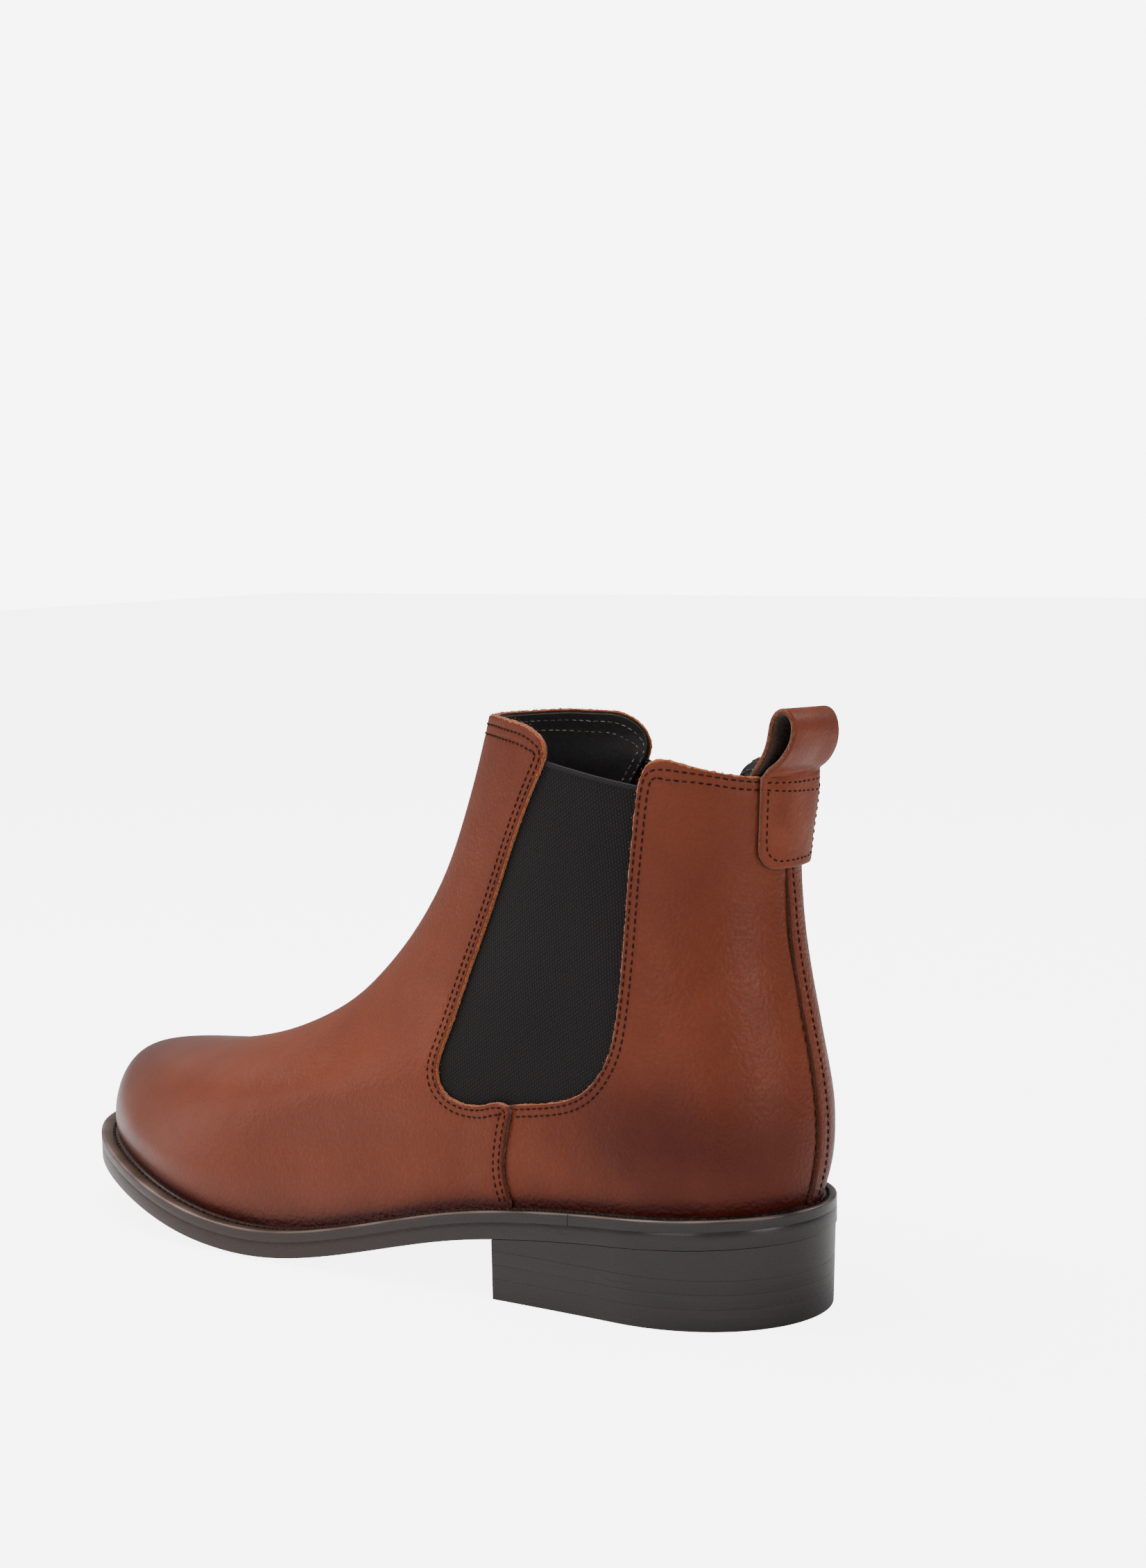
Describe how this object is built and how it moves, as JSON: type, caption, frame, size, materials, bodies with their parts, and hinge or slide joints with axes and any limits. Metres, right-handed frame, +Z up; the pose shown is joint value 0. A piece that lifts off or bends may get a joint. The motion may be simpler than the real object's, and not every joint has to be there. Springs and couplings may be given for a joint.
{
  "type": "chelsea boot",
  "caption": "Left ankle boot with elastic side gores, a sewn pull loop at the back, a welted leather sole and a low stacked heel.",
  "frame": {"origin": "middle of the flat underside of the heel, on the floor", "axes": "+Z up, -Y towards the toe, +X towards the wearer's outer side of this left boot"},
  "size_m": [0.0923, 0.269, 0.1628],
  "materials": {
    "upper_leather": "smooth waxed calf leather, tan, burnished darker at the toe and heel, raw cut edges",
    "elastic": "black-brown ribbed woven elastic",
    "lining": "dark brown lining leather",
    "sole_edge": "dark brown dyed and waxed leather edge, semi-gloss",
    "outsole": "dark dyed sole leather",
    "rubber": "black rubber",
    "board": "leather board",
    "cork": "pressed cork",
    "stiffener": "thermoplastic stiffener",
    "steel": "spring steel",
    "brass": "brass pin"
  },
  "bodies": {
    "boot": {"vamp": "upper_leather", "quarter_outer": "upper_leather", "quarter_inner": "upper_leather", "pull_tab_outer_leg": "upper_leather", "pull_tab_inner_leg": "upper_leather", "gore_outer": "elastic", "gore_inner": "elastic", "vamp_lining": "lining", "quarter_lining": "lining", "sock_liner": "lining", "heel_counter": "stiffener", "toe_puff": "stiffener", "welt": "sole_edge", "heel_rand": "sole_edge", "heel_lift_1": "sole_edge", "heel_lift_2": "sole_edge", "heel_seat_lift": "sole_edge", "outsole": "outsole", "top_piece": "rubber", "insole": "board", "heel_seat_board": "board", "cork_filler": "cork", "shank": "steel", "heel_pin_1": "brass", "heel_pin_2": "brass", "heel_pin_3": "brass", "heel_pin_4": "brass", "heel_pin_5": "brass"},
    "pull_loop": {"pull_loop": "upper_leather"}
  },
  "joints": [
    {"name": "pull_loop_fold", "type": "hinge", "parent": "boot", "child": "pull_loop", "pos_m": [0, 0.0325, 0.1496], "axis": [-1, 0, 0], "range_deg": [-50, 50], "stiffness_Nm_per_rad": 0.01}
  ]
}
